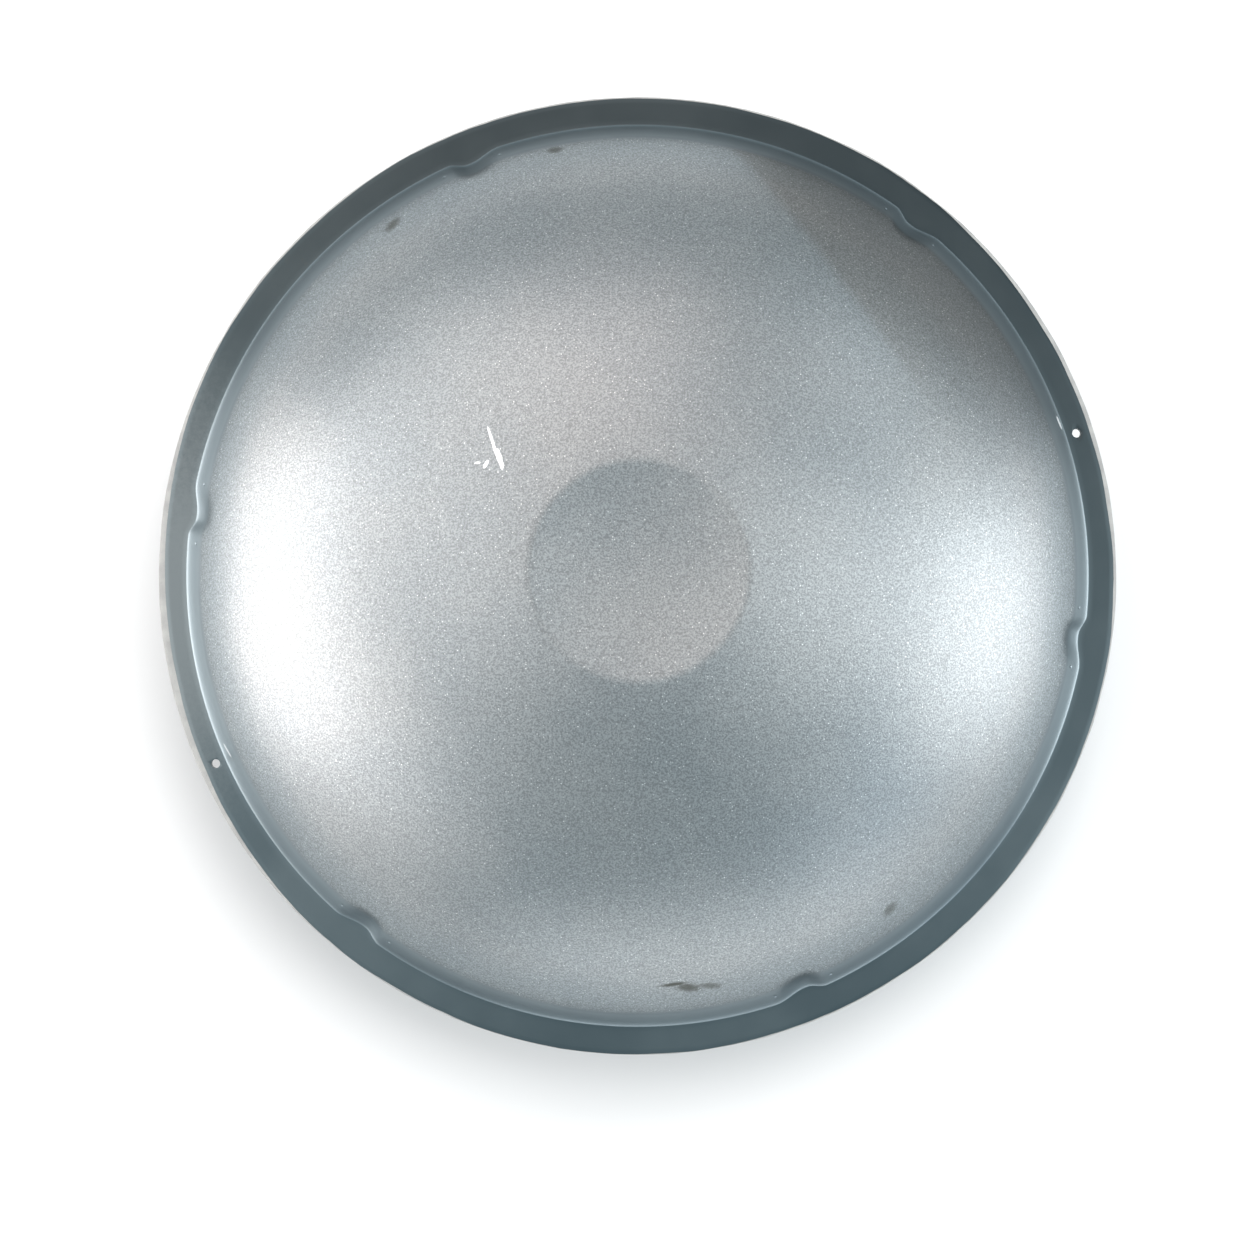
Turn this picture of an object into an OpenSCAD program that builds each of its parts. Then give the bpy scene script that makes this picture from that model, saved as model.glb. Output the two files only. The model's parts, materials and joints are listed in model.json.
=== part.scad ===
// Handpan: two dished steel half-shells, flange to flange, bonded with a ring of
// adhesive. The instrument stands on the flat seat round its sound port, with Z up
// and the origin in the middle of that seat.

/* [Rim] */
// Diameter of the steel rim
rim_d = 535; // [400:1:700]
// Width of the flat flange, from the foot of the dome to the rim
flange_w = 15.5; // [12:0.5:30]
// Thickness of the adhesive between the two flanges
bond_t = 0.8; // [0.4:0.1:2]
// How far the adhesive is set back from the foot of the dome
bond_setback = 1.5; // [0.5:0.5:4]
// How far the adhesive bead stands out past the rim
bead_proud = 2.5; // [1:0.1:4]

/* [Shells] */
// Thickness of the steel sheet
sheet_t = 1.2; // [0.8:0.1:2]
// Height of the upper dome above its flange, without the ding
upper_h = 112; // [80:1:150]
// Height of the lower dome below its flange, without the port
lower_h = 112; // [80:1:150]
// Depth of the middle of the dome's ellipse below the flange, less for steeper sides
ellipse_drop = 60; // [30:1:100]
// Height at which the side of the dome starts to flare into the flange
flare_h = 10; // [4:0.5:15]
// How far the bend at the foot of the dome runs onto the flange
foot_bend = 2.5; // [1.5:0.5:5]

/* [Ding] */
// Diameter of the dimple in the top of the upper shell
ding_d = 114; // [70:1:180]
// Depth of the dimple below its own edge
ding_depth = 4.2; // [2:0.1:12]
// Half the width of the rounded edge of the dimple
ding_edge = 3; // [1:0.5:8]

/* [Port] */
// Inside diameter of the port's neck
port_d = 110; // [80:1:150]
// Outside radius of the lip that turns into the neck
lip_r = 8; // [4:0.5:14]
// Width of the flat seat round the lip
seat_w = 6; // [3:0.5:15]
// Width of the curve that joins the seat to the dome
seat_blend = 6; // [3:0.5:15]
// Length of the straight part of the neck
neck_len = 14; // [6:1:40]

/* [Flange details] */
// Diameter of the hanging holes
hang_hole_d = 5; // [3:0.5:8]
// Angle of the first hanging hole
hang_angle_a = 18; // [0:1:45]
// Angle of the second hanging hole
hang_angle_b = 204; // [180:1:225]
// Number of notches that the die leaves at the foot of the dome
notch_count = 6; // [3:1:12]
// Radius of a notch
notch_r = 6.5; // [3:0.5:8]
// Angle of the first notch
notch_angle = 52; // [20:1:60]

/* [Hidden] */
$fn = 180;

rim_r = rim_d / 2;
foot_r = rim_r - flange_w;
port_r = port_d / 2;
ding_r = ding_d / 2;
seat_in = port_r + lip_r;
seat_out = seat_in + seat_w;
hang_hole_at = rim_r - flange_w / 2;

// A long way, for cuts that go right through
far = 20;
// Steps along a profile's curves
crown_steps = 24;
bend_steps = 8;

// The dome: an ellipse through the crown and the foot

// Half the ellipse's width, for a dome of height h
function ellipse_a(h) = foot_r / sqrt(1 - pow(ellipse_drop / (h + ellipse_drop), 2));
// Height of the dome above its flange at radius r
function dome_z(r, h) = (h + ellipse_drop) * sqrt(1 - pow(r / ellipse_a(h), 2)) - ellipse_drop;
// Fall of the dome for each millimetre outwards at radius r
function dome_fall(r, h) =
    (h + ellipse_drop) * r / pow(ellipse_a(h), 2) / sqrt(1 - pow(r / ellipse_a(h), 2));
// Radius at which the dome is z above its flange
function dome_r(z, h) = ellipse_a(h) * sqrt(1 - pow((z + ellipse_drop) / (h + ellipse_drop), 2));

// Points of a bend from a to b, with its corner at c
function bend(a, c, b, steps = bend_steps) =
    [for (i = [0:steps]) let (s = i / steps) pow(1 - s, 2) * a + 2 * s * (1 - s) * c + s * s * b];

// The dome's side from radius r outwards, its flare, and the flat of the flange.
// The first point at r is left to what joins on there.
function dome_side(r, h) =
    let (
        end_r = dome_r(flare_h, h),
        corner_r = end_r + flare_h / dome_fall(end_r, h)
    )
    concat(
        [for (i = [1:crown_steps - 1])
            let (x = r + (end_r - r) * sin(90 * i / crown_steps)) [x, dome_z(x, h)]],
        bend([end_r, flare_h], [corner_r, 0], [corner_r + foot_bend, 0]),
        [[rim_r, 0]]
    );

// The hollow of the ding, from the middle to radius ding_r
function ding_z(r, h) = dome_z(ding_r, h) - ding_depth * (1 - pow(r / ding_r, 2));
function ding_rise(r) = 2 * ding_depth * r / pow(ding_r, 2);

// Outer face of the upper shell, from the middle to the rim
function upper_face(h) =
    let (
        r0 = ding_r - ding_edge,
        r1 = ding_r + ding_edge,
        z0 = ding_z(r0, h),
        z1 = dome_z(r1, h),
        corner_r = (z1 - z0 + ding_rise(r0) * r0 + dome_fall(r1, h) * r1)
            / (ding_rise(r0) + dome_fall(r1, h))
    )
    concat(
        [for (i = [0:bend_steps - 1]) let (x = r0 * i / bend_steps) [x, ding_z(x, h)]],
        bend([r0, z0], [corner_r, z0 + ding_rise(r0) * (corner_r - r0)], [r1, z1]),
        dome_side(r1, h)
    );

// Outer face of the lower shell, from the end of the neck to the rim
function lower_face(h) =
    let (
        r1 = seat_out + seat_blend,
        z1 = dome_z(r1, h),
        seat_z = seat_height(h)
    )
    concat(
        [[port_r, seat_z - lip_r - neck_len]],
        [for (i = [0:bend_steps]) let (a = 180 - 90 * i / bend_steps)
            [seat_in + lip_r * cos(a), seat_z - lip_r + lip_r * sin(a)]],
        bend([seat_out, seat_z], [seat_out + seat_blend / 2, seat_z], [r1, z1]),
        dome_side(r1, h)
    );

// Height of the seat above the lower shell's own flange: where the dome's slope,
// carried on from the edge of the blend, reaches the middle of the blend
function seat_height(h) =
    let (r1 = seat_out + seat_blend) dome_z(r1, h) + dome_fall(r1, h) * seat_blend / 2;

// Unit normal of a profile at point i, on the side of its outer face
function face_normal(points, i) =
    let (
        last = len(points) - 1,
        a = points[max(0, i - 1)],
        b = points[min(last, i + 1)],
        along = (b - a) / norm(b - a)
    )
    i == 0 && points[0][0] == 0 ? [0, 1] : [-along[1], along[0]];

// The other face of the sheet
function inner_face(points) =
    [for (i = [len(points) - 1:-1:0])
        points[i] - sheet_t * face_normal(points, i)];

// Places of the parts up the instrument
seat_drop = seat_height(lower_h);
bond_z = seat_drop + sheet_t;
upper_z = bond_z + bond_t + sheet_t;

// One half-shell, dome up, with the top of its flange at z = 0
module half_shell(face) {
    difference() {
        union() {
            difference() {
                rotate_extrude() polygon(concat(face, inner_face(face)));
                at_notches() cylinder(r = notch_r, h = far);
            }
            // The wall and floor of each notch
            intersection() {
                at_notches() difference() {
                    translate([0, 0, -sheet_t]) cylinder(r = notch_r + sheet_t, h = far);
                    cylinder(r = notch_r, h = far + 1);
                }
                under(face);
            }
        }
        hang_holes();
    }
}

// What lies under the outer face, down to the bottom of the flange
module under(face) {
    side = [for (p = face) if (p[0] > foot_r - 3 * notch_r) p];
    rotate_extrude() polygon(concat([[side[0][0], -sheet_t]], side, [[rim_r, -sheet_t]]));
}

module at_notches() {
    for (i = [0:notch_count - 1])
        rotate(notch_angle + 360 * i / notch_count) translate([foot_r, 0, 0]) children();
}

module hang_holes() {
    for (a = [hang_angle_a, hang_angle_b])
        rotate(a) translate([hang_hole_at, 0, -far]) cylinder(d = hang_hole_d, h = 2 * far);
}

module upper_shell() {
    color([0.60, 0.65, 0.67])
        translate([0, 0, upper_z])
            half_shell(upper_face(upper_h));
}

module lower_shell() {
    // Mirroring in Z keeps each angle, so the holes and notches line up with the upper shell's
    color([0.56, 0.61, 0.63])
        translate([0, 0, seat_drop])
            mirror([0, 0, 1])
                half_shell(lower_face(lower_h));
}

module bond_ring() {
    color([0.78, 0.77, 0.74])
        translate([0, 0, bond_z])
            difference() {
                rotate_extrude() bond_section();
                hang_holes();
            }
}

// Film between the flanges, and the bead squeezed out past the rim
module bond_section() {
    in_r = foot_r + bond_setback;
    translate([in_r, 0]) square([rim_r - in_r, bond_t]);
    intersection() {
        translate([rim_r, -sheet_t]) square([bead_proud, bond_t + 2 * sheet_t]);
        translate([rim_r, bond_t / 2]) circle(r = bead_proud);
    }
}

upper_shell();
bond_ring();
lower_shell();
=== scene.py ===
"""Handpan: two dished half-shells of nitrided steel, bonded flange to flange."""
import json
import math

import bmesh
import bpy
from mathutils import Matrix, Vector, noise


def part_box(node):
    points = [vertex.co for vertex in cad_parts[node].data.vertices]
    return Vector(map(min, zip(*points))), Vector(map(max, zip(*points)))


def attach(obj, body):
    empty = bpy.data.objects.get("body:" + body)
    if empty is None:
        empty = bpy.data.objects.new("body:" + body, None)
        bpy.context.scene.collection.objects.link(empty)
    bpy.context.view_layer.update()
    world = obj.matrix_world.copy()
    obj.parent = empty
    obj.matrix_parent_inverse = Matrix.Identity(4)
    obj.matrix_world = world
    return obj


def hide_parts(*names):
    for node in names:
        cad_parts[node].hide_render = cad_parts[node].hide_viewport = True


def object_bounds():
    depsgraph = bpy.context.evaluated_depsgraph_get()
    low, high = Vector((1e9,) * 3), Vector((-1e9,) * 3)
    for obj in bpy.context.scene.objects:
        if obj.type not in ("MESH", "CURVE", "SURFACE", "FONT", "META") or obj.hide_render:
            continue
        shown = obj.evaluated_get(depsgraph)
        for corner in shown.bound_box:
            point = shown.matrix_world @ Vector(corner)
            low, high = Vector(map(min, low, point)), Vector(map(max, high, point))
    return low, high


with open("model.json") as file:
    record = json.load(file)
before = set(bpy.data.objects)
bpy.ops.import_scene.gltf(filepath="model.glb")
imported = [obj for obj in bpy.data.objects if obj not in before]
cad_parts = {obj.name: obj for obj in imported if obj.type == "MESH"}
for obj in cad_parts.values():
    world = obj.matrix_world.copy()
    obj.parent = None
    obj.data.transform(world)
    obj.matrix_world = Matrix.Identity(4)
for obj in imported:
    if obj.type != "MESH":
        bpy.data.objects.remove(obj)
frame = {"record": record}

MM = 0.001
cad_low, cad_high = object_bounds()

# Sizes and places that the frame gives
mounts = {m["name"]: m for m in frame["record"]["mounts"]}
upper_low, upper_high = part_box("upper_shell")
lower_low, lower_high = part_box("lower_shell")
bond_low, bond_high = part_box("bond_ring")
RIM_R = upper_high.x
BEAD_R = bond_high.x
UPPER_Z = bond_high.z
LOWER_Z = bond_low.z
SHEET = UPPER_Z - upper_low.z
FILM_LOW, FILM_HIGH = lower_high.z, upper_low.z
HOLES = [Vector(mounts[name]["pos_m"]) for name in ("hang_hole_a", "hang_hole_b")]
HOLE_R = mounts["hang_hole_a"]["dims"]["r_mm"] * MM
FOOT_R = 2 * HOLES[0].to_2d().length - RIM_R
PORT_R = mounts["port_neck"]["dims"]["r_mm"] * MM

# The pressed form
DOME_H = 112 * MM
ELLIPSE_DROP = 60 * MM
FLARE_H = 10 * MM
FOOT_BEND = 1.5 * MM
DING_R = 57 * MM
DING_DEPTH = 4.2 * MM
DING_EDGE = 2.5 * MM
LIP_R = 8 * MM
SEAT_W = 6 * MM
SEAT_BLEND = 6 * MM
NECK_LEN = 14 * MM
BOND_IN_R = FOOT_R + 1.5 * MM
UNEVEN = 0.15 * MM
EDGE_BREAK = 0.22 * MM
DRILL_LEN = 20 * MM

# The notches that the die leaves, six to a turn
NOTCH_COUNT = 6
NOTCH_STEP = 2 * math.pi / NOTCH_COUNT
FIRST_NOTCH = math.radians(52)
NOTCH_DEEP = 3.6 * MM
NOTCH_START = -18 * MM
NOTCH_END = 13 * MM
NOTCH_LIP = 0.2 * MM
PIT_ASIDE = 17 * MM
PIT_IN = 4.5 * MM
PIT_R = 1.0 * MM
PIT_DEEP = 0.7 * MM

# How finely the turned pieces are cut round a notch, and between notches
FINE_TURN = math.radians(10)
FINE_STEPS = 26
COARSE_STEPS = 38

MERGE = 1e-6


def smooth(a, b, x):
    """0 before a, 1 after b, and an even S between them. b may be less than a."""
    t = min(1.0, max(0.0, (x - a) / (b - a)))
    return t * t * (3 - 2 * t)


def hump(x, width):
    """1 at x = 0, falling evenly to 0 at a distance of width."""
    return smooth(width, 0, abs(x))


# The outer face of the sheet, as points from the middle outwards (radius, height above the flange)

ELLIPSE_A = FOOT_R / math.sqrt(1 - (ELLIPSE_DROP / (DOME_H + ELLIPSE_DROP)) ** 2)


def dome_z(r):
    return (DOME_H + ELLIPSE_DROP) * math.sqrt(1 - (r / ELLIPSE_A) ** 2) - ELLIPSE_DROP


def dome_fall(r):
    return (DOME_H + ELLIPSE_DROP) * r / ELLIPSE_A ** 2 / math.sqrt(1 - (r / ELLIPSE_A) ** 2)


def bend(a, corner, b, steps):
    """Points of a bend from a to b, with its corner between them."""
    points = []
    for i in range(steps + 1):
        s = i / steps
        points.append(tuple((1 - s) ** 2 * a[k] + 2 * s * (1 - s) * corner[k] + s * s * b[k] for k in (0, 1)))
    return points


def dome_side(r):
    """The dome from radius r outwards, the flare at its foot, and the flange."""
    end_r = ELLIPSE_A * math.sqrt(1 - ((FLARE_H + ELLIPSE_DROP) / (DOME_H + ELLIPSE_DROP)) ** 2)
    corner_r = end_r + FLARE_H / dome_fall(end_r)
    crown = [r + (end_r - r) * math.sin(math.pi / 2 * i / 30) for i in range(1, 27)]
    side = [crown[-1] + (end_r - crown[-1]) * i / 6 for i in range(1, 6)]
    points = [(x, dome_z(x)) for x in crown + side]
    points += bend((end_r, FLARE_H), (corner_r, 0), (corner_r + FOOT_BEND, 0), 16)
    flat = points[-1][0]
    return points + [(flat + (RIM_R - flat) * i / 5, 0.0) for i in range(1, 6)]


def upper_line():
    def hollow(r):
        return dome_z(DING_R) - DING_DEPTH * (1 - (r / DING_R) ** 2)

    r0, r1 = DING_R - DING_EDGE, DING_R + DING_EDGE
    rise = 2 * DING_DEPTH * r0 / DING_R ** 2
    fall = dome_fall(r1)
    corner_r = (dome_z(r1) - hollow(r0) + rise * r0 + fall * r1) / (rise + fall)
    points = [(r0 * i / 10, hollow(r0 * i / 10)) for i in range(10)]
    points += bend((r0, hollow(r0)), (corner_r, hollow(r0) + rise * (corner_r - r0)), (r1, dome_z(r1)), 8)
    return points + dome_side(r1)


def lower_line():
    seat_in = PORT_R + LIP_R
    seat_out = seat_in + SEAT_W
    end = seat_out + SEAT_BLEND
    seat_z = dome_z(end) + dome_fall(end) * SEAT_BLEND / 2
    points = [(PORT_R, seat_z - LIP_R - NECK_LEN * (1 - i / 4)) for i in range(4)]
    for i in range(13):
        a = math.pi * (1 - i / 24)
        points.append((seat_in + LIP_R * math.cos(a), seat_z - LIP_R + LIP_R * math.sin(a)))
    points.append(((seat_in + seat_out) / 2, seat_z))
    points += bend((seat_out, seat_z), (seat_out + SEAT_BLEND / 2, seat_z), (end, dome_z(end)), 6)
    return points + dome_side(end)


# Turning, shaping and finishing a piece


def turned(name, points, closed=False):
    """A bmesh turned from a line of points, which remembers each point's radius in zone_r."""
    bm = bmesh.new()
    zone = bm.verts.layers.float.new("zone_r")
    start = Matrix.Rotation(FIRST_NOTCH - FINE_TURN / 2, 3, "Z")
    verts = [bm.verts.new(start @ Vector((r, 0, z))) for r, z in points]
    for v, (r, z) in zip(verts, points):
        v[zone] = r
    pairs = list(zip(verts, verts[1:] + verts[:1])) if closed else list(zip(verts, verts[1:]))
    last = verts + [bm.edges.new(pair) for pair in pairs]
    for _ in range(NOTCH_COUNT):
        for turn, steps in ((FINE_TURN, FINE_STEPS), (NOTCH_STEP - FINE_TURN, COARSE_STEPS)):
            made = bmesh.ops.spin(bm, geom=last, cent=(0, 0, 0), axis=(0, 0, 1), angle=turn, steps=steps)
            last = made["geom_last"]
    bmesh.ops.remove_doubles(bm, verts=bm.verts[:], dist=MERGE)
    bmesh.ops.recalc_face_normals(bm, faces=bm.faces[:])
    return bm


def from_notch(angle):
    """Distance along the foot from the nearest notch, in metres."""
    turn = (angle - FIRST_NOTCH + NOTCH_STEP / 2) % NOTCH_STEP - NOTCH_STEP / 2
    return turn * FOOT_R


def notch_push(along):
    """How far a notch pushes the foot inwards, 0 to 1: gently from one side, with a short return."""
    return smooth(NOTCH_START, 0, along) * smooth(NOTCH_END, 2 * MM, along)


def rim_trim(angle):
    """How far the hand-trimmed edge of the sheet lies from its nominal radius."""
    def near(degrees, width):
        off = (angle - math.radians(degrees) + math.pi) % (2 * math.pi) - math.pi
        return hump(off, math.radians(width))

    round_ = Vector((math.cos(angle), math.sin(angle), 0))
    waves = 0.5 * noise.noise(round_ * 3.1) + 0.35 * noise.noise(round_ * 11)
    waves += 0.12 * noise.noise(round_ * 45)
    return (1.1 - 3.2 * near(188, 42) - 1.6 * near(20, 45) + 0.6 * near(265, 40) + waves) * MM


def push_out(v, distance):
    r = v.co.to_2d().length
    if r > MERGE:
        v.co.x *= (r + distance) / r
        v.co.y *= (r + distance) / r


def shape_sheet(bm):
    """Presses the notches, trims the rim by hand and leaves the dome slightly uneven."""
    zone = bm.verts.layers.float["zone_r"]
    for v in bm.verts:
        r, angle = v[zone], math.atan2(v.co.y, v.co.x)
        push = notch_push(from_notch(angle))
        reach = smooth(FOOT_R - 16 * MM, FOOT_R - 3 * MM, r) * smooth(RIM_R - 3 * MM, FOOT_R + 3 * MM, r)
        v.co.z += NOTCH_LIP * push * hump(r - (FOOT_R - 9 * MM), 9 * MM)
        v.co.z -= UNEVEN * (0.7 + 0.5 * noise.noise(v.co * 14)) * smooth(FOOT_R, FOOT_R - 40 * MM, r)
        trim = rim_trim(angle) * smooth(FOOT_R + 4 * MM, RIM_R, r)
        push_out(v, trim - NOTCH_DEEP * push * reach)


def press_pits(bm):
    """Two small pits beside each notch, where the die's dowels bear."""
    zone = bm.verts.layers.float["zone_r"]
    pit_r = FOOT_R - PIT_IN
    spots = []
    for i in range(NOTCH_COUNT):
        for side in (-1, 1):
            angle = FIRST_NOTCH + i * NOTCH_STEP + side * PIT_ASIDE / FOOT_R
            spots.append(Vector((pit_r * math.cos(angle), pit_r * math.sin(angle))))

    def nearest(v):
        return min((v.co.to_2d() - spot).length for spot in spots)

    ring = [v for v in bm.verts if abs(v[zone] - pit_r) < 6 * MM]
    close = {v for v in ring if nearest(v) < 3.2 * MM}
    edges = [e for e in bm.edges if e.verts[0] in close and e.verts[1] in close]
    bmesh.ops.subdivide_edges(bm, edges=edges, cuts=4, use_grid_fill=True)
    for v in bm.verts:
        if abs(v.co.to_2d().length - pit_r) < 3 * MM:
            v.co.z -= PIT_DEEP * hump(nearest(v), PIT_R)


def new_object(name, bm):
    mesh = bpy.data.meshes.new(name)
    bm.to_mesh(mesh)
    bm.free()
    obj = bpy.data.objects.new(name, mesh)
    bpy.context.scene.collection.objects.link(obj)
    return obj


def settle(obj):
    """Applies the object's modifiers."""
    graph = bpy.context.evaluated_depsgraph_get()
    mesh = bpy.data.meshes.new_from_object(
        obj.evaluated_get(graph), preserve_all_data_layers=True, depsgraph=graph)
    obj.modifiers.clear()
    obj.data = mesh
    return obj


def drill(obj):
    """Drills the hanging holes through the object."""
    for at in HOLES:
        bm = bmesh.new()
        place = Matrix.Translation((at.x, at.y, (UPPER_Z + LOWER_Z) / 2))
        bmesh.ops.create_cone(bm, cap_ends=True, segments=40, radius1=HOLE_R, radius2=HOLE_R,
                              depth=DRILL_LEN, matrix=place)
        cutter = new_object("drill", bm)
        cut = obj.modifiers.new("hole", "BOOLEAN")
        cut.object, cut.operation, cut.solver = cutter, "DIFFERENCE", "EXACT"
        settle(obj)
        bpy.data.objects.remove(cutter)


def finish_edges(obj, width):
    """Breaks the sharp edges, and shades the rest smooth."""
    edge = obj.modifiers.new("broken_edges", "BEVEL")
    edge.width, edge.segments, edge.limit_method = width, 2, "ANGLE"
    edge.angle_limit = math.radians(50)
    edge.miter_outer = "MITER_ARC"
    settle(obj)
    obj.data.shade_smooth()
    obj.data.set_sharp_from_angle(angle=math.radians(40))


def restore_zones(obj):
    """Gives the points round each hole, which drilling made, their radius again."""
    zone = obj.data.attributes["zone_r"].data
    for v in obj.data.vertices:
        if any((v.co.to_2d() - at.to_2d()).length < HOLE_R + 2 * MM for at in HOLES):
            zone[v.index].value = v.co.to_2d().length


def pressed_shell(name, points, flange_z, upside_down, steel):
    """One half-shell, from the outer face of its sheet. The three kinds of steel are for its outer face, its
    inner face and its cut edges."""
    bm = turned(name, points)
    crown = max(bm.faces, key=lambda f: f.calc_center_median().z)
    if crown.normal.z < 0:
        bmesh.ops.reverse_faces(bm, faces=bm.faces[:])
    shape_sheet(bm)
    press_pits(bm)
    if upside_down:
        bmesh.ops.scale(bm, vec=(1, 1, -1), verts=bm.verts[:])
        bmesh.ops.reverse_faces(bm, faces=bm.faces[:])
    bmesh.ops.translate(bm, vec=(0, 0, flange_z), verts=bm.verts[:])
    obj = new_object(name, bm)
    wall = obj.modifiers.new("sheet", "SOLIDIFY")
    wall.thickness, wall.offset, wall.use_even_offset = SHEET, -1, True
    wall.material_offset, wall.material_offset_rim = 1, 2
    for material in steel:
        obj.data.materials.append(material)
    settle(obj)
    drill(obj)
    finish_edges(obj, EDGE_BREAK)
    restore_zones(obj)
    return obj


def bond():
    """The film between the flanges, and the bead squeezed out round the rim."""
    edge = RIM_R + 0.05 * MM
    middle = (FILM_LOW + FILM_HIGH) / 2
    half = (bond_high.z - bond_low.z) / 2 - 0.15 * MM
    points = [(BOND_IN_R + 0.4 * MM, FILM_LOW), (edge, FILM_LOW)]
    for i in range(13):
        a = math.pi * (i / 12 - 0.5)
        points.append((edge + (BEAD_R - RIM_R) * math.cos(a), middle + half * math.sin(a)))
    points += [(edge, FILM_HIGH), (BOND_IN_R + 0.4 * MM, FILM_HIGH), (BOND_IN_R, middle)]
    bm = turned("bond_ring", points, closed=True)
    zone = bm.verts.layers.float["zone_r"]
    for v in bm.verts:
        angle = math.atan2(v.co.y, v.co.x)
        around = Vector((math.cos(angle), math.sin(angle), 0))
        lumps = 0.3 * noise.noise(around * 9) + 0.16 * noise.noise(around * 40 + Vector((0, 0, v.co.z * 300)))
        free = BEAD_R - 0.45 * MM + lumps * MM
        steel = edge + rim_trim(angle)
        share = smooth(edge, BEAD_R, v[zone])
        if v[zone] > edge - MERGE:
            push_out(v, steel + (max(free, steel + 0.3 * MM) - steel) * share - v[zone])
    obj = new_object("bond_ring_bead", bm)
    obj.data.materials.append(adhesive())
    drill(obj)
    obj.data.shade_smooth()
    obj.data.set_sharp_from_angle(angle=math.radians(50))
    return obj


# Materials


def node(tree, kind, inputs=None, **settings):
    """A new node with its settings, whose inputs take values or the sockets of other nodes."""
    made = tree.nodes.new(kind)
    for key, value in settings.items():
        setattr(made, key, value)
    for key, value in (inputs or {}).items():
        if isinstance(value, bpy.types.NodeSocket):
            tree.links.new(value, made.inputs[key])
        else:
            made.inputs[key].default_value = value
    return made


def calc(tree, operation, a, b=0.0, clamp=False):
    return node(tree, "ShaderNodeMath", {0: a, 1: b}, operation=operation, use_clamp=clamp).outputs[0]


def ramp(tree, value, low, high, out_low=0.0, out_high=1.0):
    """value eased from out_low to out_high, as it goes from low to high."""
    inputs = {"Value": value, "From Min": low, "From Max": high, "To Min": out_low, "To Max": out_high}
    return node(tree, "ShaderNodeMapRange", inputs, interpolation_type="SMOOTHSTEP").outputs["Result"]


def tint(tree, share, a, b, kind="MIX"):
    """Colour a turned into colour b by share."""
    made = node(tree, "ShaderNodeMix", data_type="RGBA", blend_type=kind)
    for index, value in ((0, share), (6, a), (7, b)):
        if isinstance(value, bpy.types.NodeSocket):
            tree.links.new(value, made.inputs[index])
        else:
            made.inputs[index].default_value = value if index == 0 else (*value, 1)
    return made.outputs[2]


def cloud(tree, where, size, detail=3.0, rough=0.5):
    """Noise whose features are about size metres across."""
    inputs = {"Vector": where, "Scale": 1 / size, "Detail": detail, "Roughness": rough}
    return node(tree, "ShaderNodeTexNoise", inputs).outputs["Fac"]


def group(name, inputs, outputs):
    """A new node group, and its input and output nodes."""
    tree = bpy.data.node_groups.new(name, "ShaderNodeTree")
    for socket, kind, value in inputs:
        made = tree.interface.new_socket(socket, in_out="INPUT", socket_type=kind)
        if value is not None:
            made.default_value = value
    for socket, kind in outputs:
        tree.interface.new_socket(socket, in_out="OUTPUT", socket_type=kind)
    return tree, node(tree, "NodeGroupInput").outputs, node(tree, "NodeGroupOutput").inputs


def place(tree, name, inputs):
    made = node(tree, "ShaderNodeGroup", node_tree=bpy.data.node_groups[name])
    for key, value in inputs.items():
        if isinstance(value, bpy.types.NodeSocket):
            tree.links.new(value, made.inputs[key])
        else:
            made.inputs[key].default_value = value
    return made.outputs


def orange_peel_group():
    """The grain of pressed and nitrided sheet: its height from 0 to 1, and where it glints."""
    tree, given, out = group(
        "orange_peel",
        [("Vector", "NodeSocketVector", None), ("Size", "NodeSocketFloat", 2 * MM)],
        [("Height", "NodeSocketFloat"), ("Glint", "NodeSocketFloat")])
    scale = calc(tree, "DIVIDE", 1.0, given["Size"])
    worms = node(tree, "ShaderNodeTexNoise", {
        "Vector": given["Vector"], "Scale": scale, "Detail": 2.5, "Roughness": 0.6})
    cells = node(tree, "ShaderNodeTexVoronoi", {
        "Vector": given["Vector"], "Scale": calc(tree, "MULTIPLY", scale, 0.9)}, feature="F1")
    pick = node(tree, "ShaderNodeSeparateColor", {"Color": cells.outputs["Color"]}).outputs[0]
    near = ramp(tree, cells.outputs["Distance"], 0.42, 0.12)
    glint = calc(tree, "MULTIPLY", near, ramp(tree, pick, 0.86, 1.0))
    tree.links.new(ramp(tree, worms.outputs["Fac"], 0.36, 0.64), out["Height"])
    tree.links.new(glint, out["Glint"])


def handling_group():
    """Cloudy patches in the finish, and the dark marks that damp hands leave."""
    tree, given, out = group(
        "handling",
        [("Vector", "NodeSocketVector", None), ("Patches", "NodeSocketFloat", 90 * MM)],
        [("Cloudy", "NodeSocketFloat"), ("Smudge", "NodeSocketFloat")])
    scale = calc(tree, "DIVIDE", 1.0, given["Patches"])
    patches = node(tree, "ShaderNodeTexNoise", {
        "Vector": given["Vector"], "Scale": scale, "Detail": 4.0, "Roughness": 0.55})
    where = ramp(tree, cloud(tree, given["Vector"], 50 * MM, 2.0), 0.6, 0.74)
    speck = ramp(tree, cloud(tree, given["Vector"], 6 * MM, 5.0, 0.65), 0.56, 0.72)
    tree.links.new(patches.outputs["Fac"], out["Cloudy"])
    tree.links.new(calc(tree, "MULTIPLY", where, speck), out["Smudge"])


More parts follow.
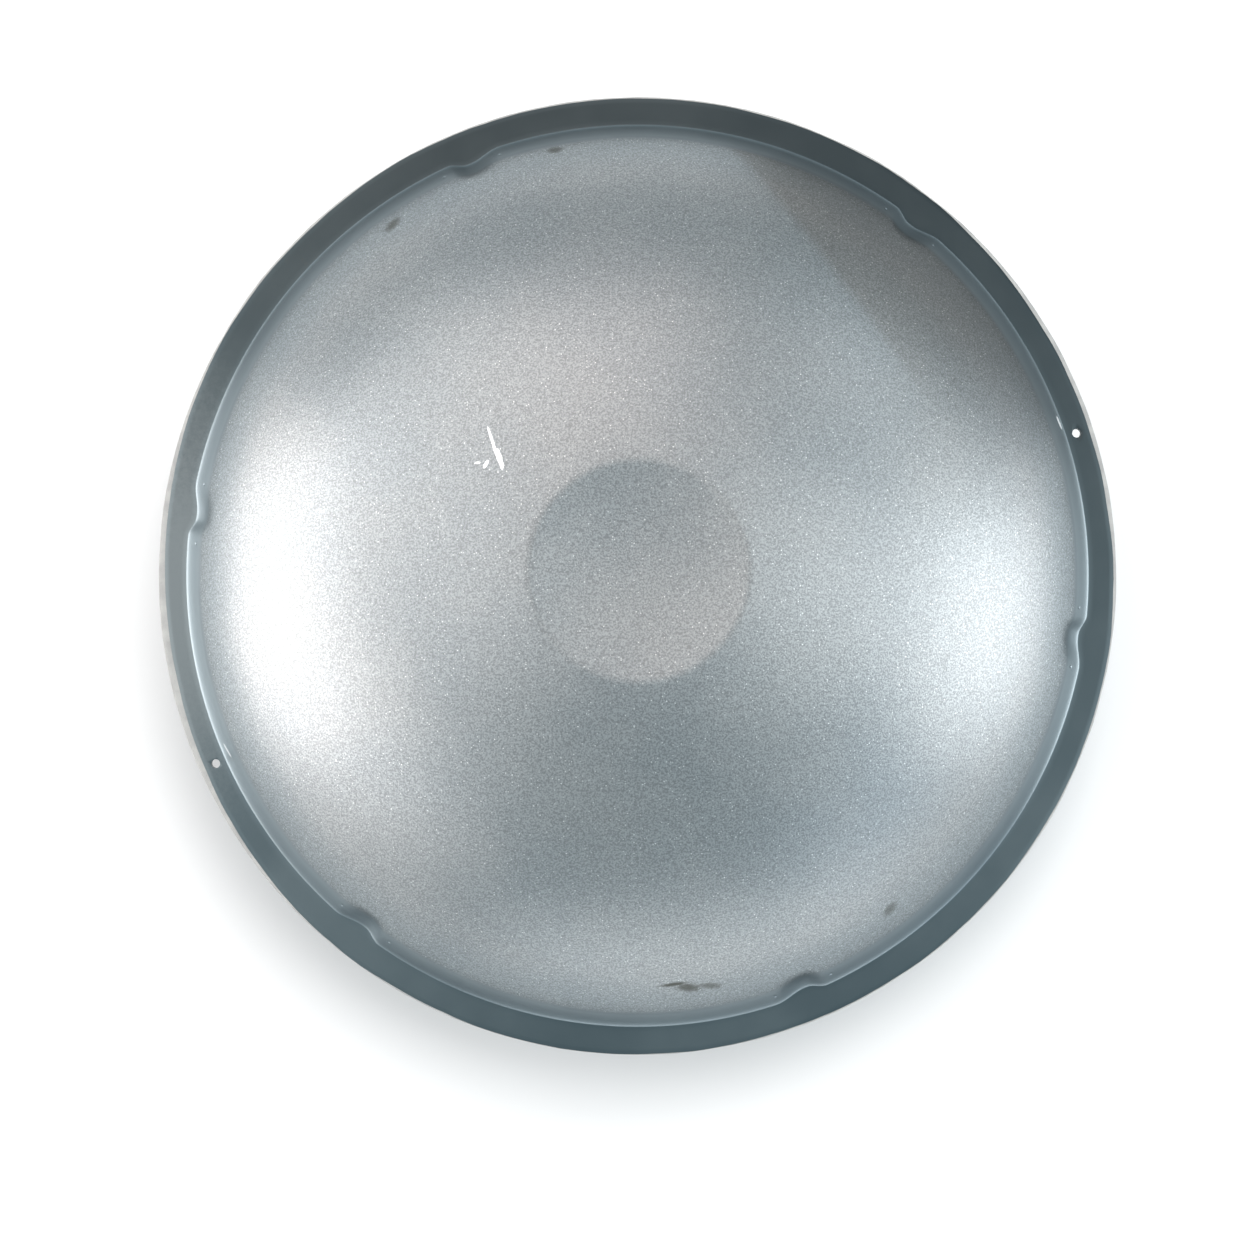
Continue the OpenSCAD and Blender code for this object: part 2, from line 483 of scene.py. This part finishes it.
def zones_group():
    """Masks from a point's radius before pressing: the dome's skirt, which is darkened with painted shade,
    its flare, the crease where the flare starts, which takes a thin line of painted shade, and the flange."""
    tree, given, out = group("zones", [("Vector", "NodeSocketVector", None)], [
        ("Skirt", "NodeSocketFloat"), ("Flare", "NodeSocketFloat"),
        ("Crease", "NodeSocketFloat"), ("Flange", "NodeSocketFloat")])
    radius = node(tree, "ShaderNodeAttribute", attribute_name="zone_r").outputs["Fac"]
    # a thin line of painted shade along the crease
    crease = calc(tree, "MULTIPLY", ramp(tree, radius, FOOT_R - 9 * MM, FOOT_R - 7.5 * MM),
                  ramp(tree, radius, FOOT_R - 6 * MM, FOOT_R - 7.5 * MM))
    broken = ramp(tree, cloud(tree, given["Vector"], 70 * MM), 0.42, 0.58)
    tree.links.new(ramp(tree, radius, FOOT_R - 38 * MM, FOOT_R - 14 * MM), out["Skirt"])
    tree.links.new(ramp(tree, radius, FOOT_R - 10 * MM, FOOT_R - 6.5 * MM), out["Flare"])
    tree.links.new(calc(tree, "MULTIPLY", crease, broken), out["Crease"])
    tree.links.new(ramp(tree, radius, FOOT_R + 1.2 * MM, FOOT_R + 2.1 * MM), out["Flange"])


def streak(tree, where, compass, out, length, width, degrees, soft, ragged=0.45):
    """Mask of a mark on the sheet, all sizes in millimetres. Its edge is sharp at a soft of 0.1."""
    turn = math.radians(compass)
    middle = (out * MM * math.cos(turn), out * MM * math.sin(turn), 0)
    stretch = node(tree, "ShaderNodeMapping", {
        "Vector": where, "Location": middle, "Rotation": (0, 0, math.radians(degrees)),
        "Scale": (length / 2 * MM, width / 2 * MM, 10)}, vector_type="TEXTURE").outputs[0]
    far = node(tree, "ShaderNodeVectorMath", {0: stretch}, operation="LENGTH").outputs["Value"]
    torn = cloud(tree, where, 2.5 * MM, 3.0, 0.7)
    reach = calc(tree, "ADD", far, calc(tree, "MULTIPLY", torn, 2 * ragged))
    return ramp(tree, reach, 1 + ragged + soft, 1 + ragged - soft)


def streaks(tree, where, marks, soft):
    """Mask of several marks, each compass direction, distance, length, width, direction and strength."""
    total = None
    for *shape, strength in marks:
        one = calc(tree, "MULTIPLY", streak(tree, where, *shape, soft), strength)
        total = one if total is None else calc(tree, "MAXIMUM", total, one)
    return total


# Marks on the upper shell, in degrees and millimetres: compass direction and distance from the axis, length,
# width, direction and strength
SCRATCH = (
    (139, 99, 20, 1.5, 108, 1.0), (141, 92, 11, 2.6, 106, 1.0),
    (145, 96, 5, 1.8, 60, 0.9), (146, 100, 3, 1.4, 0, 0.7),
)
KNOCKS = ((20, 252, 8, 1.2, -68, 0.45), (203, 250, 8, 1.0, -58, 0.4))
SMEAR = ((275, 225, 14, 2.2, 8, 0.9), (277, 228, 12, 5, -6, 0.8), (280, 229, 12, 3.4, -4, 0.6))
SPOTS = ((125, 236, 10, 5, 50, 0.7), (101, 240, 8, 4, 10, 0.7), (307, 230, 9, 5, 50, 0.55))
# A painted highlight on the flange, on the side of the left window
FLANGE_HIGHLIGHT = ((184, 258, 190, 60, 90, 0.8),)


# How much lighter the tops of the grain are
GRAIN_GAIN = 1.55

# The painted shadow on one side of the dome: the compass direction that it lies in, and how far off its edge
# is
SHADE_TURN = 34.5
SHADE_FROM = 177.5 * MM

# The compass direction in which the flange's painted shade is darkest, and how much lighter its painted light
# is opposite
FLANGE_TURN = 75
FLANGE_GAIN = 2.5


def principled(name, roughness, metallic=1.0):
    material = bpy.data.materials.new(name)
    material.use_nodes = True
    tree = material.node_tree
    shader = tree.nodes["Principled BSDF"]
    shader.inputs["Roughness"].default_value = roughness
    shader.inputs["Metallic"].default_value = metallic
    where = node(tree, "ShaderNodeTexCoord").outputs["Object"]
    return material, tree, shader, where


def towards(tree, x, y, compass):
    """How far a place lies from the axis in a compass direction."""
    turn = math.radians(compass)
    along_x = calc(tree, "MULTIPLY", x, math.cos(turn))
    return calc(tree, "ADD", along_x, calc(tree, "MULTIPLY", y, math.sin(turn)))


def painted_shadow(tree, x, y):
    """Mask of the painted shadow on one side of the dome, which ends in a straight line."""
    side = ramp(tree, towards(tree, x, y, SHADE_TURN), SHADE_FROM - 4 * MM, SHADE_FROM + 5 * MM)
    return calc(tree, "MULTIPLY", side, ramp(tree, y, 70 * MM, 150 * MM))


def flange_painted_light(tree, x, y):
    """Mask of the painted light on the flange, from 0 at the back to 1 in front."""
    return ramp(tree, towards(tree, x, y, FLANGE_TURN), RIM_R, -RIM_R)


def outer_steel():
    """Nitrided steel: grainy on the dome, smoother on the flare, smooth and darker on the flange."""
    material, tree, shader, where = principled("nitrided_steel", 0.4)
    peel = place(tree, "orange_peel", {"Vector": where, "Size": 1.0 * MM})
    hands = place(tree, "handling", {"Vector": where, "Patches": 90 * MM})
    zones = place(tree, "zones", {"Vector": where})
    x, y, z = node(tree, "ShaderNodeSeparateXYZ", {"Vector": where}).outputs
    upper_only = ramp(tree, z, LOWER_Z, UPPER_Z - SHEET)
    grainy = calc(tree, "SUBTRACT", 1.0, zones["Flare"], clamp=True)
    chips = calc(tree, "MULTIPLY", streaks(tree, where, SCRATCH + KNOCKS, 0.15), upper_only)
    stains = calc(tree, "MULTIPLY", streaks(tree, where, SMEAR + SPOTS, 0.6), upper_only)
    # painted shadow on one side of the dome, fading out towards the front
    shade = calc(tree, "MULTIPLY", painted_shadow(tree, x, y), upper_only)
    # painted highlight on the flange, on the left window's side
    painted_flange_highlight = calc(tree, "MULTIPLY", streaks(tree, where, FLANGE_HIGHLIGHT, 0.8), upper_only)

    dome = tint(tree, ramp(tree, hands["Cloudy"], 0.3, 0.7), (0.246, 0.263, 0.272), (0.272, 0.284, 0.289))
    grain = calc(tree, "MULTIPLY", peel["Height"], grainy)
    dome = tint(tree, grain, dome, (GRAIN_GAIN,) * 3, "MULTIPLY")
    dome = tint(tree, calc(tree, "MULTIPLY", peel["Glint"], grainy), dome, (0.86, 0.88, 0.88))
    # painted shade: the dome darkened towards its foot, where the steep sheet faces the floor
    dome = tint(tree, zones["Skirt"], dome, (0.79, 0.84, 0.86), "MULTIPLY")
    # painted shadow: darkens and warms the dome on one side, up to a straight edge
    dome = tint(tree, shade, dome, (0.87, 0.83, 0.80), "MULTIPLY")
    flare = tint(tree, zones["Flare"], dome, (0.295, 0.345, 0.37))
    # painted shade: a thin dark line along the crease where the flare starts
    flare = tint(tree, calc(tree, "MULTIPLY", zones["Crease"], 0.15), flare, (0.08, 0.09, 0.095))
    flange = tint(tree, ramp(tree, hands["Cloudy"], 0.35, 0.65), (0.046, 0.060, 0.066), (0.056, 0.071, 0.077))
    # painted light and shade: the flange lighter in front, darker at the back
    flange = tint(tree, flange_painted_light(tree, x, y), flange, (FLANGE_GAIN,) * 3, "MULTIPLY")
    # painted highlight: lightens the flange on the left window's side
    flange = tint(tree, painted_flange_highlight, flange, (0.21, 0.24, 0.25))
    colour = tint(tree, zones["Flange"], flare, flange)
    dirty = calc(tree, "MAXIMUM", stains, calc(tree, "MULTIPLY", hands["Smudge"], 0.25))
    colour = tint(tree, dirty, colour, (0.10, 0.102, 0.09))
    colour = tint(tree, chips, colour, (0.95, 0.95, 0.95))
    tree.links.new(colour, shader.inputs["Base Color"])

    rough = calc(tree, "ADD", 0.36, calc(tree, "MULTIPLY", hands["Cloudy"], 0.1))
    rough = calc(tree, "SUBTRACT", rough, calc(tree, "MULTIPLY", zones["Flange"], 0.08))
    rough = calc(tree, "ADD", rough, calc(tree, "MULTIPLY", dirty, 0.2))
    tree.links.new(calc(tree, "ADD", rough, calc(tree, "MULTIPLY", chips, 0.2)), shader.inputs["Roughness"])
    tree.links.new(calc(tree, "SUBTRACT", 1.0, chips, clamp=True), shader.inputs["Metallic"])

    relief = calc(tree, "ADD", calc(tree, "MULTIPLY", grainy, 0.9), 0.1)
    depth = calc(tree, "MULTIPLY", peel["Height"], relief)
    height = calc(tree, "SUBTRACT", depth, calc(tree, "MULTIPLY", chips, 1.5))
    bump = node(tree, "ShaderNodeBump", {"Height": height, "Distance": 0.03 * MM, "Strength": 1.0})
    tree.links.new(bump.outputs[0], shader.inputs["Normal"])
    return material


def inner_steel():
    """The inside of the sheet, as it came from the press and the oven."""
    material, tree, shader, where = principled("inside_steel", 0.5)
    peel = place(tree, "orange_peel", {"Vector": where, "Size": 2.4 * MM})
    hands = place(tree, "handling", {"Vector": where, "Patches": 60 * MM})
    colour = tint(tree, ramp(tree, hands["Cloudy"], 0.3, 0.7), (0.24, 0.25, 0.26), (0.31, 0.31, 0.31))
    colour = tint(tree, calc(tree, "MULTIPLY", peel["Glint"], 0.35), colour, (0.45, 0.45, 0.44))
    tree.links.new(colour, shader.inputs["Base Color"])
    tree.links.new(ramp(tree, hands["Cloudy"], 0.2, 0.8, 0.42, 0.56), shader.inputs["Roughness"])
    bump = node(tree, "ShaderNodeBump", {"Height": peel["Height"], "Distance": 0.08 * MM})
    tree.links.new(bump.outputs[0], shader.inputs["Normal"])
    return material


def cut_edge():
    """The trimmed edge of the sheet and the drilled holes, filed bright."""
    material, tree, shader, where = principled("cut_edge", 0.38)
    files = node(tree, "ShaderNodeMapping", {"Vector": where, "Scale": (1, 1, 0.05)}).outputs[0]
    lines = cloud(tree, files, 0.5 * MM, 3.0, 0.6)
    hands = place(tree, "handling", {"Vector": where, "Patches": 20 * MM})
    colour = tint(tree, ramp(tree, hands["Cloudy"], 0.35, 0.7), (0.62, 0.63, 0.64), (0.38, 0.40, 0.42))
    colour = tint(tree, calc(tree, "MULTIPLY", lines, 0.4), colour, (0.3, 0.3, 0.31))
    tree.links.new(colour, shader.inputs["Base Color"])
    tree.links.new(ramp(tree, lines, 0.3, 0.7, 0.3, 0.45), shader.inputs["Roughness"])
    bump = node(tree, "ShaderNodeBump", {"Height": lines, "Distance": 0.05 * MM})
    tree.links.new(bump.outputs[0], shader.inputs["Normal"])
    return material


def adhesive():
    """Cured epoxy, pale grey, with small bubbles and dust caught in it."""
    material, tree, shader, where = principled("cured_epoxy", 0.5, metallic=0.0)
    hands = place(tree, "handling", {"Vector": where, "Patches": 12 * MM})
    colour = tint(tree, ramp(tree, hands["Cloudy"], 0.3, 0.7), (0.24, 0.24, 0.235), (0.32, 0.32, 0.31))
    bubbles = node(tree, "ShaderNodeTexVoronoi", {"Vector": where, "Scale": 900.0}).outputs["Distance"]
    specks = ramp(tree, cloud(tree, where, 1.5 * MM, 4.0, 0.7), 0.62, 0.72)
    colour = tint(tree, calc(tree, "MULTIPLY", specks, 0.6), colour, (0.14, 0.137, 0.13))
    tree.links.new(colour, shader.inputs["Base Color"])
    tree.links.new(ramp(tree, hands["Cloudy"], 0.3, 0.7, 0.42, 0.6), shader.inputs["Roughness"])
    bump = node(tree, "ShaderNodeBump", {"Height": bubbles, "Distance": 0.12 * MM, "Strength": 0.6})
    tree.links.new(bump.outputs[0], shader.inputs["Normal"])
    return material


# Studio

# How bright the soft boxes look: two windows, lit walls, and shaded ones
WINDOW = 4.5
SMALL_WINDOW = 3.5
WALL = 1.5
SHADED = 0.7

# Half the floor's width, and how far the floor and the felt lie below the seat
FLOOR_HALF = 12
FLOOR_GAP = 0.2 * MM
FELT_GAP = 0.1 * MM

# The camera's height above the rim, its place off the axis, and its focal length in millimetres
CAMERA_UP = 1.2
CAMERA_AT = (-5.9 * MM, -28.8 * MM)
CAMERA_LENS = 61.24


def plain(name, colour):
    material = bpy.data.materials.new(name)
    material.use_nodes = True
    shader = material.node_tree.nodes["Principled BSDF"]
    shader.inputs["Base Color"].default_value = (*colour, 1)
    shader.inputs["Roughness"].default_value = 0.9
    shader.inputs["Specular IOR Level"].default_value = 0.1
    return material


def pale_floor():
    bm = bmesh.new()
    bmesh.ops.create_grid(bm, x_segments=1, y_segments=1, size=FLOOR_HALF)
    bmesh.ops.translate(bm, vec=(0, 0, cad_low.z - FLOOR_GAP), verts=bm.verts[:])
    floor = new_object("floor", bm)
    floor.data.materials.append(plain("pale_floor", (0.655, 0.655, 0.655)))


def felt(compass, spread, near, far):
    """Grey felt on the floor on one side, which only reflections see, so that the dome is darker there."""
    bm = bmesh.new()
    turn, half = math.radians(compass), math.radians(spread / 2)
    start = Matrix.Rotation(turn - half, 3, "Z")
    edge = bm.edges.new([bm.verts.new(start @ Vector((r, 0, cad_low.z - FELT_GAP))) for r in (near, far)])
    bmesh.ops.spin(bm, geom=[*edge.verts, edge], cent=(0, 0, 0), axis=(0, 0, 1), angle=2 * half, steps=12)
    card = new_object("felt", bm)
    card.data.materials.append(plain("grey_felt", (0.26, 0.26, 0.26)))
    card.visible_camera = card.visible_diffuse = card.visible_shadow = False


def soft_light(name, compass, up, size, radiance, colour, distance=4, glossy=True):
    """A soft box that faces the shells and isn't seen itself. Its compass direction is in degrees from +X, up
    is how many degrees above the rim it stands, size its width and height, and radiance how bright it is."""
    light = bpy.data.lights.new(name, "AREA")
    light.shape, light.size, light.size_y = "RECTANGLE", *size
    light.energy, light.color = radiance * math.pi * size[0] * size[1], colour
    obj = bpy.data.objects.new(name, light)
    turn, rise = math.radians(compass), math.radians(up)
    middle = Vector((0, 0, UPPER_Z))
    level = Vector((math.cos(turn), math.sin(turn), 0)) * math.cos(rise)
    obj.location = middle + distance * (level + Vector((0, 0, math.sin(rise))))
    obj.rotation_mode = "QUATERNION"
    obj.rotation_quaternion = (middle - obj.location).to_track_quat("-Z", "Y")
    obj.visible_camera = False
    obj.visible_glossy = glossy
    bpy.context.scene.collection.objects.link(obj)


def studio():
    world = bpy.data.worlds.new("studio")
    world.use_nodes = True
    sky = world.node_tree.nodes["Background"]
    sky.inputs["Color"].default_value = (0.84, 1.0, 1.06, 1)
    sky.inputs["Strength"].default_value = 0.54
    bpy.context.scene.world = world
    plain_white, cool = (1, 1, 1), (0.68, 0.84, 1.0)
    warm, warmer = (1.0, 0.93, 0.90), (1.0, 0.84, 0.79)
    soft_light("left_window", 182, 13, (3.4, 2.5), WINDOW, warm)
    soft_light("right_window", -6, 15, (2.6, 2.2), SMALL_WINDOW, plain_white)
    soft_light("left_wall", 142, 36, (3.0, 2.2), WALL, warm)
    soft_light("left_front", 215, 25, (2.2, 2.4), WALL, warm)
    soft_light("right_wall", -3, 48, (2.2, 2.8), WALL, plain_white)
    soft_light("right_front", 318, 22, (1.8, 1.8), SHADED, cool)
    soft_light("back_wall", 98, 50, (2.4, 2.4), WALL, warmer)
    soft_light("front_low", 282, 9, (5.0, 1.2), WALL, plain_white)
    soft_light("left_ceiling", 178, 60, (2.4, 2.0), WALL, warm)
    soft_light("right_back", 42, 31, (1.8, 1.3), WALL, plain_white)
    soft_light("right_ceiling", 15, 70, (1.8, 1.6), SHADED, plain_white)
    soft_light("ceiling", 112, 77, (1.8, 1.6), SHADED, (1.0, 0.72, 0.6))
    soft_light("wash", 70, 66, (1.4, 1.4), 10.0, plain_white, distance=2.8, glossy=False)
    felt(46, 56, 0.28, 6)
    scene = bpy.context.scene
    scene.view_settings.view_transform = "Standard"
    scene.view_settings.look = "None"


def camera():
    """A camera that looks straight down, a little to the left and in front of the axis."""
    data = bpy.data.cameras.new("camera")
    data.lens, data.sensor_width = CAMERA_LENS, 36
    data.clip_start, data.clip_end = 0.01, 50
    obj = bpy.data.objects.new("camera", data)
    obj.location = (*CAMERA_AT, UPPER_Z + CAMERA_UP)
    bpy.context.scene.collection.objects.link(obj)
    bpy.context.scene.camera = obj


camera()
studio()
pale_floor()
orange_peel_group()
handling_group()
zones_group()

steel = (outer_steel(), inner_steel(), cut_edge())

upper = pressed_shell("upper_shell_steel", upper_line(), UPPER_Z, False, steel)
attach(upper, "root")
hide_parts("upper_shell")

lower = pressed_shell("lower_shell_steel", lower_line(), LOWER_Z, True, steel)
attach(lower, "root")
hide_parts("lower_shell")

ring = bond()
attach(ring, "root")
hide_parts("bond_ring")
